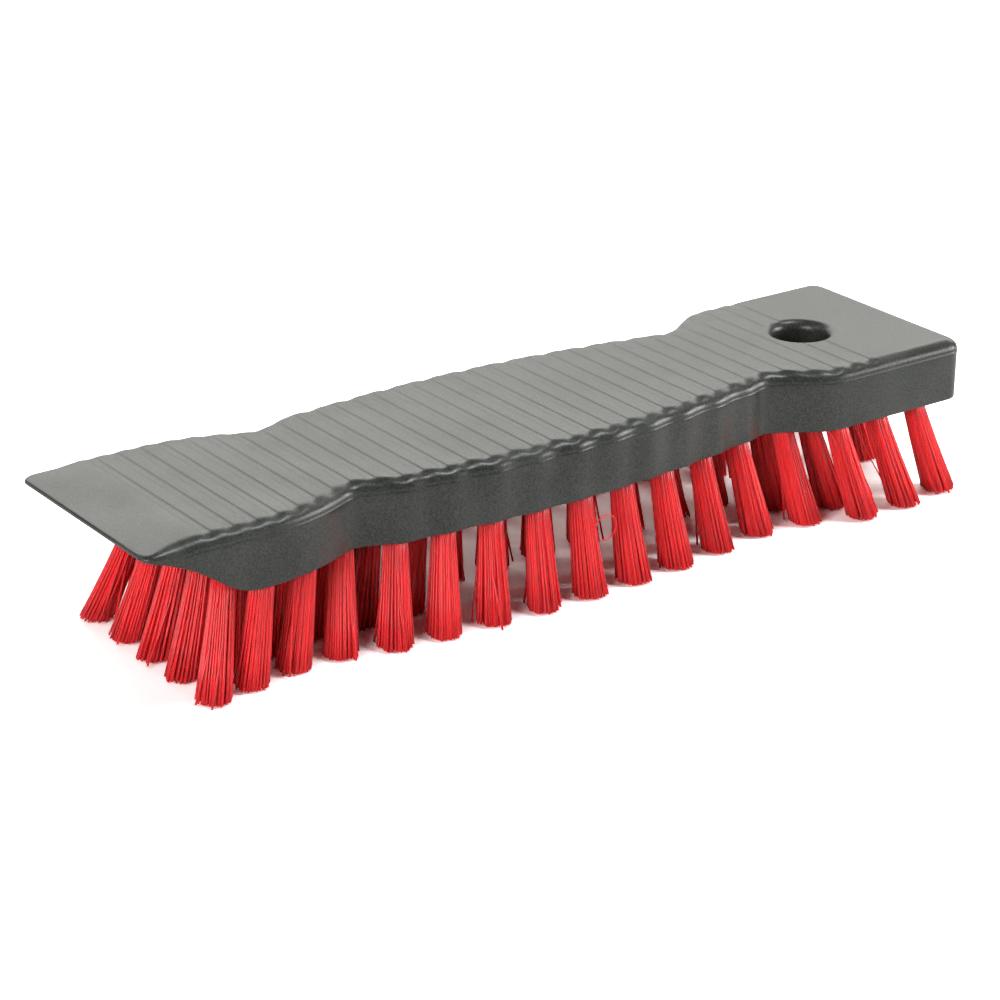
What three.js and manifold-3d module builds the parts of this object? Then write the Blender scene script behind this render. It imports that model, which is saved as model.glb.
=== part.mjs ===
// Hand scrub brush: a moulded plastic block with a scraper end, tufts of stiff
// bristle set in holes in its underside, and steel anchor wires over the tufts. The
// wires of the inner pairs would pass the limit on nodes, so only their slots are here.
// Millimetres, +Z up. The bristle tips stand on Z = 0, the scraper points to -X.

import * as THREE from 'three';
import { mergeVertices } from 'three/addons/utils/BufferGeometryUtils.js';
import Module from 'manifold-3d';

const wasm = await Module();
wasm.setup();

// Block: lengths along X
const RIB_PITCH = 6.35;
const GROOVE_COUNT = 34;
const SCRAPER_REACH = 19.1;
const TAIL_REACH = 33.4;

// Block: half widths of the plan outline
const HEAD_HALF = 32.2;
const FRONT_NECK_HALF = 23.6;
const SHOULDER_HALF = 28.9;
const GRIP_HALF = 31.2;
const REAR_NECK_HALF = 22.7;
const TAIL_HALF = 32.0;
const NECK_SOFTNESS = 0.5;
const SCALLOP_DEPTH = 0.7;
const SCRAPER_CORNER = 3.3;
const TAIL_CORNER = 5.0;

// Block: heights and edges
const TRIM_LENGTH = 27.2;
const BLOCK_THICKNESS = 17.4;
const TOP_ROUND = 3.0;
const GROOVE_DEPTH = 0.4;
const GROOVE_WIDTH = 3.0;
const GROOVE_FLOOR = 1.8;
const RAMP_DROP = 1.8;
const SCRAPER_EDGE = 1.2;
const WEDGE_LENGTH = 32.0;
const WEDGE_NOSE = 19.6;
const WEDGE_NOSE_DROP = 4.8;
const WEDGE_HEEL = 11.0;

// Hang hole through the tail
const HANG_BORE = 16.0;
const HANG_RIM = 1.8;
const HANG_RIM_UNDER = 0.8;

// Tuft holes, anchors and the clearance between pieces
const TUFT_HOLE = 6.0;
const TUFT_HOLE_DEPTH = 12.0;
const ROW_INSET = 6.0;
const ANCHOR_THICKNESS = 0.6;
const ANCHOR_HEIGHT = 2.0;
const ANCHOR_BITE = 0.7;
const CLEARANCE = 0.3;

// Bristles
const STRANDS_IN_RING = 5;
const STRAND_RADIUS = 0.8;
const RING_ROOT = 2.1;
const RING_TIP = 4.2;
const ROOT_INSET = 1.0;
const STRIP_THICKNESS = 5.0;
const STRIP_MARGIN = 0.7;
const TIP_CUT = 0.5;

// Sideways reach of the tips
const SIDE_LEAN = 7.4;
const SHOULDER_LEAN = 2.0;
const TAIL_LEAN = 4.5;
const END_LEAN = 8.5;
const HEAD_LEAN = 5.5;
const FRONT_LEAN = 9.2;
const CORNER_LEAN = 9.0;
const INNER_LEAN = 3.5;
const PAIR_LEAN = 2.0;
const REAR_PAIR_LEAN = 4.3;

// Places of the tuft rows
const FRONT_ROW = 27.6;
const SECOND_ROW = 8.0;
const TAIL_ROW = 16.2;
const ROW_COUNT = 15;
const ROW_BOW = 1.6;
const REAR_PAIR = 11;
const REAR_EASE_COUNT = 3;
const REAR_SHIFT = 2.0;
const CORNER_INSET = 5.2;
const INNER_PAIRS = 4;
const MIDDLE_SHIFT = 2.6;
const TAIL_PAIR_INSET = 10.5;

// Derived places
const LENGTH = SCRAPER_REACH + (GROOVE_COUNT - 1) * RIB_PITCH + TAIL_REACH;
const TIP_X = -LENGTH / 2;
const TAIL_X = LENGTH / 2;
const FIRST_GROOVE = TIP_X + SCRAPER_REACH;
const HANG_X = FIRST_GROOVE + (GROOVE_COUNT - 1) * RIB_PITCH;
const UNDER_Z = TRIM_LENGTH;
const TOP_Z = UNDER_Z + BLOCK_THICKNESS;
const HOLE_TOP_Z = UNDER_Z + TUFT_HOLE_DEPTH;
const ANCHOR_LENGTH = TUFT_HOLE + 2 * ANCHOR_BITE;
const SLOT_TOP_Z = HOLE_TOP_Z - CLEARANCE / 3;
const ANCHOR_TOP_Z = SLOT_TOP_Z - CLEARANCE;
const ANCHOR_Z = ANCHOR_TOP_Z - ANCHOR_HEIGHT / 2;
const PLUG_TOP_Z = ANCHOR_TOP_Z - ANCHOR_HEIGHT - CLEARANCE;
const STRIP_HALF = TUFT_HOLE / 2 + STRIP_MARGIN;
const LINK_HALF = STRIP_HALF - CLEARANCE;
const MARGIN = 5;

// Materials
const blockPlastic = new THREE.MeshStandardMaterial({ color: 0x53564f, roughness: 0.55, metalness: 0 });
const bristle = new THREE.MeshStandardMaterial({ color: 0xd81f2a, roughness: 0.45, metalness: 0 });
const anchorSteel = new THREE.MeshStandardMaterial({ color: 0xb4b6b8, roughness: 0.35, metalness: 1 });

// Closed geometry to a solid for joins and cuts
function solid(geometry) {
  const bare = geometry.clone();
  for (const name of Object.keys(bare.attributes)) {
    if (name !== 'position') bare.deleteAttribute(name);
  }
  const merged = mergeVertices(bare, 1e-4);
  const place = merged.attributes.position;
  const index = merged.index.array;
  const triangles = [];
  let volume = 0;
  const a = new THREE.Vector3();
  const b = new THREE.Vector3();
  const c = new THREE.Vector3();
  for (let i = 0; i < index.length; i += 3) {
    const [p, q, r] = [index[i], index[i + 1], index[i + 2]];
    if (p === q || q === r || p === r) continue;
    triangles.push([p, q, r]);
    a.fromBufferAttribute(place, p);
    b.fromBufferAttribute(place, q);
    c.fromBufferAttribute(place, r);
    volume += a.dot(b.cross(c));
  }
  const ordered = triangles.map(([p, q, r]) => (volume < 0 ? [p, r, q] : [p, q, r]));
  const triVerts = new Uint32Array(ordered.flat());
  const vertProperties = new Float32Array(place.array);
  return new wasm.Manifold(new wasm.Mesh({ numProp: 3, vertProperties, triVerts }));
}

// Solid back to a geometry with flat shading
function geometryOf(body) {
  const mesh = body.getMesh();
  const geometry = new THREE.BufferGeometry();
  geometry.setAttribute('position', new THREE.BufferAttribute(new Float32Array(mesh.vertProperties), 3));
  geometry.setIndex(new THREE.BufferAttribute(new Uint32Array(mesh.triVerts), 1));
  geometry.computeVertexNormals();
  return geometry;
}

function joined(bodies) {
  return bodies.reduce((whole, body) => whole.add(body));
}

function boxSolid(sizeX, sizeY, sizeZ, x, y, z, turn = 0) {
  return solid(new THREE.BoxGeometry(sizeX, sizeY, sizeZ).rotateZ(turn).translate(x, y, z));
}

function postSolid(radius, lowZ, highZ, x, y, sides) {
  const post = new THREE.CylinderGeometry(radius, radius, highZ - lowZ, sides);
  return solid(post.rotateX(Math.PI / 2).translate(x, y, (lowZ + highZ) / 2));
}

// Half width of the plan outline, with u counted in ribs from the first groove
const HEAD_END = 2.2;
const FRONT_NECK = 7;
const SHOULDER = 10;
const GRIP_MIDDLE = 16.5;
const REAR_NECK = 28;
const TAIL_START = 31;
const SCALLOP_START = 8;

function baseHalf(u) {
  const along = (from, to) => (u - from) / (to - from);
  const mix = (from, to, t) => from + (to - from) * t;
  const easeOut = (t) => 1 - (1 - t) * (1 - t);
  if (u < HEAD_END) return HEAD_HALF;
  if (u < FRONT_NECK) return mix(HEAD_HALF, FRONT_NECK_HALF, along(HEAD_END, FRONT_NECK) ** 2);
  if (u < SHOULDER) return mix(FRONT_NECK_HALF, SHOULDER_HALF, easeOut(along(FRONT_NECK, SHOULDER)));
  if (u < GRIP_MIDDLE) return mix(SHOULDER_HALF, GRIP_HALF, easeOut(along(SHOULDER, GRIP_MIDDLE)));
  if (u < REAR_NECK) return mix(GRIP_HALF, REAR_NECK_HALF, along(GRIP_MIDDLE, REAR_NECK) ** 2);
  const flare = THREE.MathUtils.smoothstep(u, REAR_NECK, TAIL_START);
  if (u < TAIL_START) return mix(REAR_NECK_HALF, TAIL_HALF, flare);
  return TAIL_HALF;
}

// The same line with its necks rounded
function softHalf(u) {
  const shares = [-1, -0.5, 0, 0.5, 1];
  const sum = shares.reduce((total, share) => total + baseHalf(u + share * NECK_SOFTNESS), 0);
  return sum / shares.length;
}

function halfWidth(u) {
  if (u < SCALLOP_START || u > REAR_NECK) return softHalf(u);
  return softHalf(u) + SCALLOP_DEPTH * (1 - Math.cos(Math.PI * (u - SCALLOP_START))) / 2;
}

const ribX = (u) => FIRST_GROOVE + u * RIB_PITCH;
const ribAt = (x) => (x - FIRST_GROOVE) / RIB_PITCH;

// Plan outline: scraper corner, waisted side, tail corner, then the mirrored side
function planShape() {
  const side = [];
  const steps = 4;
  for (let i = 0; i <= steps; i += 1) {
    const angle = (i / steps) * Math.PI / 2;
    const x = TIP_X + SCRAPER_CORNER * (1 - Math.cos(angle));
    side.push(new THREE.Vector2(x, HEAD_HALF - SCRAPER_CORNER * (1 - Math.sin(angle))));
  }
  const flare = 8;
  for (let i = 0; i < flare; i += 1) {
    const u = HEAD_END + (FRONT_NECK - HEAD_END) * i / flare;
    side.push(new THREE.Vector2(ribX(u), halfWidth(u)));
  }
  for (let half = 0; half < 2 * (TAIL_START - FRONT_NECK); half += 1) {
    const u = FRONT_NECK + half / 2;
    side.push(new THREE.Vector2(ribX(u), halfWidth(u)));
  }
  for (let i = 0; i <= steps; i += 1) {
    const angle = (i / steps) * Math.PI / 2;
    const x = TAIL_X - TAIL_CORNER * (1 - Math.sin(angle));
    side.push(new THREE.Vector2(x, TAIL_HALF - TAIL_CORNER * (1 - Math.cos(angle))));
  }
  const other = side.map((point) => new THREE.Vector2(point.x, -point.y)).reverse();
  return new THREE.Shape([...side, ...other].reverse());
}

// Underside of the scraper wedge, from its edge back to the flat underside
const wedge = new THREE.CubicBezierCurve(
  new THREE.Vector2(TIP_X, TOP_Z - RAMP_DROP - SCRAPER_EDGE),
  new THREE.Vector2(TIP_X + WEDGE_NOSE, TOP_Z - RAMP_DROP - SCRAPER_EDGE - WEDGE_NOSE_DROP),
  new THREE.Vector2(TIP_X + WEDGE_LENGTH - WEDGE_HEEL, UNDER_Z),
  new THREE.Vector2(TIP_X + WEDGE_LENGTH, UNDER_Z),
);
const wedgeLine = wedge.getPoints(12);

function undersideAt(x) {
  for (let i = 1; i < wedgeLine.length; i += 1) {
    const [from, to] = [wedgeLine[i - 1], wedgeLine[i]];
    if (x < to.x) return from.y + (to.y - from.y) * (x - from.x) / (to.x - from.x);
  }
  return UNDER_Z;
}

// Side profile: ribbed top, ramp, scraper edge, wedge and flat underside
function profileShape() {
  const line = [];
  line.push(new THREE.Vector2(TAIL_X + MARGIN, UNDER_Z));
  line.push(new THREE.Vector2(TAIL_X + MARGIN, TOP_Z));
  for (let groove = GROOVE_COUNT - 1; groove >= 0; groove -= 1) {
    const x = ribX(groove);
    line.push(new THREE.Vector2(x + GROOVE_WIDTH / 2, TOP_Z));
    line.push(new THREE.Vector2(x + GROOVE_FLOOR / 2, TOP_Z - GROOVE_DEPTH));
    line.push(new THREE.Vector2(x - GROOVE_FLOOR / 2, TOP_Z - GROOVE_DEPTH));
    line.push(new THREE.Vector2(x - GROOVE_WIDTH / 2, TOP_Z));
  }
  line.push(new THREE.Vector2(FIRST_GROOVE - RIB_PITCH / 2, TOP_Z));
  line.push(new THREE.Vector2(TIP_X, TOP_Z - RAMP_DROP));
  line.push(new THREE.Vector2(TIP_X - MARGIN, TOP_Z - RAMP_DROP));
  line.push(new THREE.Vector2(TIP_X - MARGIN, TOP_Z - RAMP_DROP - SCRAPER_EDGE));
  line.push(...wedgeLine);
  return new THREE.Shape(line);
}

const profileDepth = 2 * (Math.max(HEAD_HALF, TAIL_HALF, GRIP_HALF) + MARGIN);
const profileGeometry = new THREE.ExtrudeGeometry(profileShape(), {
  depth: profileDepth,
  bevelEnabled: false,
});
const profileSolid = solid(profileGeometry.rotateX(Math.PI / 2).translate(0, profileDepth / 2, 0));

const planDepth = BLOCK_THICKNESS + MARGIN - TOP_ROUND;
const planGeometry = new THREE.ExtrudeGeometry(planShape(), {
  depth: planDepth,
  bevelEnabled: true,
  bevelThickness: TOP_ROUND,
  bevelSize: TOP_ROUND,
  bevelOffset: -TOP_ROUND,
  bevelSegments: 3,
});
const planSolid = solid(planGeometry.translate(0, 0, UNDER_Z - MARGIN));

// Hang hole with a soft rim above and a small one below
function hangHole() {
  const radius = HANG_BORE / 2;
  const line = [new THREE.Vector2(0, UNDER_Z - MARGIN)];
  line.push(new THREE.Vector2(radius + HANG_RIM_UNDER, UNDER_Z - MARGIN));
  line.push(new THREE.Vector2(radius + HANG_RIM_UNDER, UNDER_Z));
  line.push(new THREE.Vector2(radius, UNDER_Z + HANG_RIM_UNDER));
  const steps = 4;
  for (let i = 0; i <= steps; i += 1) {
    const angle = (i / steps) * Math.PI / 2;
    const z = TOP_Z - HANG_RIM * (1 - Math.sin(angle));
    line.push(new THREE.Vector2(radius + HANG_RIM * (1 - Math.cos(angle)), z));
  }
  line.push(new THREE.Vector2(radius + HANG_RIM, TOP_Z + MARGIN));
  line.push(new THREE.Vector2(0, TOP_Z + MARGIN));
  const lathe = new THREE.LatheGeometry(line, 24);
  return solid(lathe.rotateX(Math.PI / 2).translate(HANG_X, 0, 0));
}

// Tufts: a root on the underside and the sideways reach of the tip
const frontX = TIP_X + FRONT_ROW;
const secondX = frontX + SECOND_ROW;
const tuftPitch = (TAIL_X - TAIL_ROW - secondX) / ROW_COUNT;
const rowX = (k) => secondX + (k + 1) * tuftPitch;
const middleX = (rowX(0) + rowX(ROW_COUNT - 1)) / 2;
const spanX = rowX(ROW_COUNT - 1) - middleX;
const endLean = (x) => Math.max(-HEAD_LEAN, END_LEAN * (x - middleX) / spanX);
const rowY = (x) => softHalf(ribAt(x)) - ROW_INSET;
const frontY = rowY(frontX) - CORNER_INSET;
const HANG_FROM = HANG_X - HANG_BORE / 2 - HANG_RIM - STRIP_HALF;
const HANG_TO = HANG_X + HANG_BORE / 2 + HANG_RIM_UNDER + STRIP_HALF;

function tuft(x, y, leanX, leanY, anchored = true) {
  return { x, y, leanX, leanY, anchored };
}

// Side rows bow towards the scraper, ease back at the rear, and lean less at both ends
function bowedX(k) {
  const along = (k + 1) / (ROW_COUNT + 1);
  const ease = THREE.MathUtils.clamp((k - REAR_PAIR) / REAR_EASE_COUNT + 1, 0, 1);
  return rowX(k) - ROW_BOW * 4 * along * (1 - along) + REAR_SHIFT * ease;
}

function sideLean(k) {
  if (k === 0) return SHOULDER_LEAN;
  return k === ROW_COUNT - 1 ? TAIL_LEAN : SIDE_LEAN;
}

function sideRow(side) {
  const tufts = [];
  const links = [];
  tufts.push(tuft(frontX, side * frontY, -FRONT_LEAN, side * CORNER_LEAN));
  tufts.push(tuft(secondX, side * rowY(secondX), endLean(secondX), side * SHOULDER_LEAN));
  links.push([0, 1]);
  for (let k = 0; k < ROW_COUNT; k += 1) {
    const x = bowedX(k);
    tufts.push(tuft(x, side * rowY(x), endLean(x), side * sideLean(k)));
    links.push([tufts.length - 2, tufts.length - 1]);
  }
  const beside = tufts.findIndex((item) => item.x > HANG_FROM);
  const pairX = tufts[beside].x - REAR_SHIFT;
  const pairY = rowY(pairX) - TAIL_PAIR_INSET;
  tufts.push(tuft(pairX, side * pairY, endLean(pairX), side * SIDE_LEAN));
  links.push([beside, tufts.length - 1]);
  return { tufts, links };
}

// Inner tufts: pairs behind the head, then one line, and a pair before the hang hole
function middleRow() {
  const tufts = [];
  const links = [];
  const pairEnds = [];
  tufts.push(tuft(frontX, 0, -FRONT_LEAN, 0));
  tufts.push(tuft(secondX, 0, endLean(secondX), 0));
  links.push([0, 1]);
  for (const side of [-1, 1]) {
    tufts.push(tuft(frontX, side * frontY / 2, -FRONT_LEAN, side * INNER_LEAN));
    links.push([0, tufts.length - 1]);
    tufts.push(tuft(secondX, side * rowY(secondX) / 2, endLean(secondX), side * INNER_LEAN));
    links.push([1, tufts.length - 1]);
    for (let k = 0; k < INNER_PAIRS; k += 1) {
      const x = bowedX(k);
      tufts.push(tuft(x, side * rowY(x) / 2, endLean(x), side * PAIR_LEAN, false));
      links.push([tufts.length - 2, tufts.length - 1]);
    }
    pairEnds.push(tufts.length - 1);
  }
  for (let k = INNER_PAIRS; k < REAR_PAIR; k += 1) {
    const x = rowX(k) + MIDDLE_SHIFT;
    const before = k === INNER_PAIRS ? pairEnds : [tufts.length - 1];
    tufts.push(tuft(x, 0, endLean(x), 0));
    for (const from of before) links.push([from, tufts.length - 1]);
  }
  const lineEnd = tufts.length - 1;
  const rearX = bowedX(REAR_PAIR);
  for (const side of [-1, 1]) {
    tufts.push(tuft(rearX, side * rowY(rearX) / 2, endLean(rearX), side * REAR_PAIR_LEAN));
    links.push([lineEnd, tufts.length - 1]);
  }
  return { tufts, links };
}

function tailTuft() {
  const x = Math.max(rowX(ROW_COUNT - 1), HANG_TO);
  return { tufts: [tuft(x, 0, endLean(x), 0)], links: [] };
}

const rows = {
  right: sideRow(-1),
  left: sideRow(1),
  middle: middleRow(),
  tail: tailTuft(),
};

// Backing strip of a row, or the channel that it sits in
function backing(row, grow, lowZ, highZ) {
  const parts = row.tufts.map((item) => postSolid(STRIP_HALF + grow, lowZ, highZ, item.x, item.y, 8));
  for (const [from, to] of row.links) {
    const [a, b] = [row.tufts[from], row.tufts[to]];
    const reach = Math.hypot(b.x - a.x, b.y - a.y);
    const turn = Math.atan2(b.y - a.y, b.x - a.x);
    const width = 2 * (LINK_HALF + grow);
    const at = [(a.x + b.x) / 2, (a.y + b.y) / 2, (lowZ + highZ) / 2];
    parts.push(boxSolid(reach, width, highZ - lowZ, ...at, turn));
  }
  return joined(parts);
}

// One strand: a three-sided rod from its root to just below the trim level
function strand(root, tip) {
  const points = [];
  for (const end of [tip, root]) {
    for (let i = 0; i < 3; i += 1) {
      const angle = (i / 3) * 2 * Math.PI;
      points.push(end.x + STRAND_RADIUS * Math.cos(angle), end.y + STRAND_RADIUS * Math.sin(angle), end.z);
    }
  }
  const geometry = new THREE.BufferGeometry();
  geometry.setAttribute('position', new THREE.BufferAttribute(new Float32Array(points), 3));
  geometry.setIndex([0, 2, 1, 3, 4, 5, 0, 1, 4, 0, 4, 3, 1, 2, 5, 1, 5, 4, 2, 0, 3, 2, 3, 5]);
  return solid(geometry);
}

function tuftStrands(item) {
  const rootZ = undersideAt(item.x - RING_ROOT) + ROOT_INSET;
  const reach = 1 + TIP_CUT / rootZ;
  const strands = [];
  for (let i = 0; i <= STRANDS_IN_RING; i += 1) {
    const angle = (i / STRANDS_IN_RING) * 2 * Math.PI;
    const spread = i === STRANDS_IN_RING ? 0 : 1;
    const out = new THREE.Vector2(Math.cos(angle), Math.sin(angle)).multiplyScalar(spread);
    const root = new THREE.Vector3(item.x + out.x * RING_ROOT, item.y + out.y * RING_ROOT, rootZ);
    const tipX = item.x + item.leanX + out.x * RING_TIP;
    const tip = new THREE.Vector3(tipX, item.y + item.leanY + out.y * RING_TIP, 0);
    strands.push(strand(root, root.clone().lerp(tip, reach)));
  }
  return strands;
}

const belowFloor = boxSolid(2 * LENGTH, 2 * LENGTH, 2 * MARGIN, 0, 0, -MARGIN);

function tuftBody(row) {
  const low = UNDER_Z - MARGIN;
  const strip = backing(row, 0, low, UNDER_Z + STRIP_THICKNESS).intersect(profileSolid);
  const plugRadius = TUFT_HOLE / 2 - CLEARANCE;
  const plugLow = UNDER_Z + STRIP_THICKNESS - ROOT_INSET;
  const plugs = row.tufts.map((item) => postSolid(plugRadius, plugLow, PLUG_TOP_Z, item.x, item.y, 8));
  const strands = row.tufts.flatMap((item) => tuftStrands(item));
  return joined([strip, ...plugs, ...strands]).subtract(belowFloor);
}

// Block with its channels, tuft holes and anchor slots
function blockBody() {
  let body = planSolid.intersect(profileSolid).subtract(hangHole());
  for (const row of Object.values(rows)) {
    const low = UNDER_Z - MARGIN;
    body = body.subtract(backing(row, CLEARANCE, low, UNDER_Z + STRIP_THICKNESS + CLEARANCE));
    for (const item of row.tufts) {
      body = body.subtract(postSolid(TUFT_HOLE / 2, UNDER_Z, HOLE_TOP_Z, item.x, item.y, 8));
      const slotLow = PLUG_TOP_Z;
      const slotHeight = SLOT_TOP_Z - slotLow;
      const slotX = ANCHOR_THICKNESS + 2 * CLEARANCE;
      const slotY = ANCHOR_LENGTH + 2 * CLEARANCE;
      body = body.subtract(boxSolid(slotX, slotY, slotHeight, item.x, item.y, slotLow + slotHeight / 2));
    }
  }
  return body;
}

const brush = new THREE.Group();

function place(name, geometry, material) {
  const mesh = new THREE.Mesh(geometry, material);
  mesh.name = name;
  brush.add(mesh);
  return mesh;
}

place('block', geometryOf(blockBody()), blockPlastic);
for (const [name, row] of Object.entries(rows)) {
  place(`tufts_${name}`, geometryOf(tuftBody(row)), bristle);
  row.tufts.filter((item) => item.anchored).forEach((item, i) => {
    const plate = new THREE.BoxGeometry(ANCHOR_THICKNESS, ANCHOR_LENGTH, ANCHOR_HEIGHT);
    const number = String(i + 1).padStart(2, '0');
    place(`anchor_${name}_${number}`, plate, anchorSteel).position.set(item.x, item.y, ANCHOR_Z);
  });
}

export default brush;
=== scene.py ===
# %% [markdown]
# # A scrub brush with a scraper end
# The brush is one moulded plastic block with rows of stiff red tufts under it.
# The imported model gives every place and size, so this script only makes the
# looks: a fine skin for the block, real filaments, finishes, floor and light.

# %% Load the frame
import math

import bmesh
import bpy
import numpy as np
from mathutils import Matrix, Vector


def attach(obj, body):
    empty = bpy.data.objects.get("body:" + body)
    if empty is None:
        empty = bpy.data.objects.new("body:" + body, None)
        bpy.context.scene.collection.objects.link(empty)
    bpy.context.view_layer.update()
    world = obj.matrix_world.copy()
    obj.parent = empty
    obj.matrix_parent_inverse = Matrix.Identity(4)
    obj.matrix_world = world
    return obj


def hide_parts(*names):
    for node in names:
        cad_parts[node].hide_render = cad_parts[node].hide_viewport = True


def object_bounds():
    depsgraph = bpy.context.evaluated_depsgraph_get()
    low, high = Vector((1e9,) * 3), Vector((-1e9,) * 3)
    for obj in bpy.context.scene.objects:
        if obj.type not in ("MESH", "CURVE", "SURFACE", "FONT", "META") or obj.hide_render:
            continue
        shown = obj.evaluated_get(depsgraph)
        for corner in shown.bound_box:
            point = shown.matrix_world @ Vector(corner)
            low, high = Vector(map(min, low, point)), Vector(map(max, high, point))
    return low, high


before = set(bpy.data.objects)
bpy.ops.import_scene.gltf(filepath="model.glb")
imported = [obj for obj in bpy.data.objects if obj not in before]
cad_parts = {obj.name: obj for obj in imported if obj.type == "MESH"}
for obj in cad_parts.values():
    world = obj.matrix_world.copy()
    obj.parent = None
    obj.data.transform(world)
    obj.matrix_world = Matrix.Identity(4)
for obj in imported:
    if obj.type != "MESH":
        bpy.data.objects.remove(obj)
cad_low, cad_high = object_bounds()
MM = 0.001


def put(name, data):
    """A new object in the scene, with its mesh, curve, lamp or camera."""
    thing = bpy.data.objects.new(name, data)
    bpy.context.collection.objects.link(thing)
    return thing


print("frame size in mm:", [round(v / MM, 1) for v in cad_high - cad_low])

# %% [markdown]
# ## The camera
# The photograph was taken with a long lens from the scraper end, a little above
# the brush. A camera can be dragged into place by eye, or solved from points
# that are known in both the picture and the model. Here it was solved from the
# rib grooves and the two end edges, so it is written down as a place, two
# angles and a lens.

# %% Camera
CAMERA_PLACE = Vector((-0.43806, -0.61157, 0.32829))
CAMERA_AZIMUTH = math.radians(-35.223)
CAMERA_ELEVATION = math.radians(22.54)
SENSOR_WIDTH, LENS, NEAR_CLIP = 36.0, 108.88, 0.01


def add_camera():
    cos_e, sin_e = math.cos(CAMERA_ELEVATION), math.sin(CAMERA_ELEVATION)
    back = Vector((math.sin(CAMERA_AZIMUTH) * cos_e, -math.cos(CAMERA_AZIMUTH) * cos_e, sin_e))
    right = Vector((math.cos(CAMERA_AZIMUTH), math.sin(CAMERA_AZIMUTH), 0.0))
    up = back.cross(right)
    data = bpy.data.cameras.new("photo_camera")
    data.sensor_width = SENSOR_WIDTH
    data.lens = LENS
    data.clip_start = NEAR_CLIP
    camera = put("photo_camera", data)
    turn = Matrix((right, up, back)).transposed().to_4x4()
    camera.matrix_world = Matrix.Translation(CAMERA_PLACE) @ turn
    bpy.context.scene.camera = camera
    return camera


print("camera:", add_camera().name)

# %% [markdown]
# ## Sizes of the block
# The plan outline is waisted: a wide scraper head, a neck, a barrel grip with
# finger scallops, a second neck and a wide tail. All places along the block are
# counted in ribs from the first groove, because the real mould was laid out on
# the rib spacing.

# %% Block sizes, in millimetres
RIB_PITCH = 6.35
GROOVES = 34
SCRAPER_REACH = 19.1
TAIL_REACH = 33.4
LENGTH = SCRAPER_REACH + (GROOVES - 1) * RIB_PITCH + TAIL_REACH
TIP_X, TAIL_X = -LENGTH / 2, LENGTH / 2
FIRST_GROOVE = TIP_X + SCRAPER_REACH
HANG_X = FIRST_GROOVE + (GROOVES - 1) * RIB_PITCH

HEAD_HALF, FRONT_NECK_HALF, SHOULDER_HALF = 32.2, 23.6, 28.9
GRIP_HALF, REAR_NECK_HALF, TAIL_HALF = 31.2, 22.7, 32.0
HEAD_END, FRONT_NECK, SHOULDER, GRIP_MIDDLE = 2.2, 7.0, 10.0, 16.5
REAR_NECK, TAIL_START, SCALLOP_START = 28.0, 31.0, 8.0
SCALLOP_DEPTH, NECK_SOFTNESS, NECK_SAMPLES = 0.7, 0.5, 9
SCRAPER_CORNER, TAIL_CORNER = 3.3, 5.0

UNDER_Z, TOP_Z = 27.2, 44.6
TOP_ROUND, TOP_ROUND_WIDTH, UNDER_ROUND = 3.0, 4.0, 0.5
RAMP_DROP, SCRAPER_EDGE = 1.8, 1.2
WEDGE_LENGTH, WEDGE_NOSE, WEDGE_NOSE_DROP, WEDGE_HEEL = 32.0, 19.6, 4.8, 11.0
GROOVE_DEPTH, GROOVE_WIDTH, GROOVE_SHIFT = 0.18, 2.9, -0.35
GROOVE_LEFT_SLOPE, GROOVE_RIGHT_SLOPE, GROOVE_BLEND = 0.45, 0.8, 0.1
NOTCH_DEPTH, NOTCH_DEEPEST, NOTCH_REACH = 0.27, 2.2, 5.4
RIB_CROWN = 0.05


def smooth(t):
    t = np.clip(t, 0.0, 1.0)
    return t * t * (3 - 2 * t)


def base_half(u):
    """Half width of the outline at u ribs, without the finger scallops."""
    def along(a, b):
        return np.clip((u - a) / (b - a), 0.0, 1.0)

    def ease_out(t):
        return 1 - (1 - t) ** 2

    head = HEAD_HALF + (FRONT_NECK_HALF - HEAD_HALF) * along(HEAD_END, FRONT_NECK) ** 2
    rise = FRONT_NECK_HALF + (SHOULDER_HALF - FRONT_NECK_HALF) * ease_out(along(FRONT_NECK, SHOULDER))
    grip = SHOULDER_HALF + (GRIP_HALF - SHOULDER_HALF) * ease_out(along(SHOULDER, GRIP_MIDDLE))
    fall = GRIP_HALF + (REAR_NECK_HALF - GRIP_HALF) * along(GRIP_MIDDLE, REAR_NECK) ** 2
    tail = REAR_NECK_HALF + (TAIL_HALF - REAR_NECK_HALF) * smooth(along(REAR_NECK, TAIL_START))
    parts = [u < FRONT_NECK, u < SHOULDER, u < GRIP_MIDDLE, u < REAR_NECK]
    return np.select(parts, [head, rise, grip, fall], tail)


def soft_half(u):
    """The same line with its necks rounded."""
    spread = np.linspace(-NECK_SOFTNESS, NECK_SOFTNESS, NECK_SAMPLES)
    return sum(base_half(u + s) for s in spread) / NECK_SAMPLES


def half_width(x):
    """Half width at x, with scallops and rounded plan corners."""
    u = (x - FIRST_GROOVE) / RIB_PITCH
    bulge = SCALLOP_DEPTH * (1 - np.cos(np.pi * (u - SCALLOP_START))) / 2
    half = soft_half(u) + np.where((u > SCALLOP_START) & (u < REAR_NECK), bulge, 0.0)
    for end, radius, inward in ((TIP_X, SCRAPER_CORNER, 1), (TAIL_X, TAIL_CORNER, -1)):
        into = np.clip((x - end) * inward, 0.0, radius)
        half = half - radius + np.sqrt(np.maximum(radius**2 - (radius - into) ** 2, 0.0))
    return half


print("block:", round(LENGTH, 1), "mm long,", 2 * HEAD_HALF, "mm wide at the head")

# %% [markdown]
# ## Heights of the block
# The top is level except for a shallow ramp to the scraper edge. The underside
# is level too, until it sweeps up to the edge in a long S. The S could be pulled
# into shape by hand, but a cubic curve needs only four points. It is solved here
# as a table that can be read at any place along the block.

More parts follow.
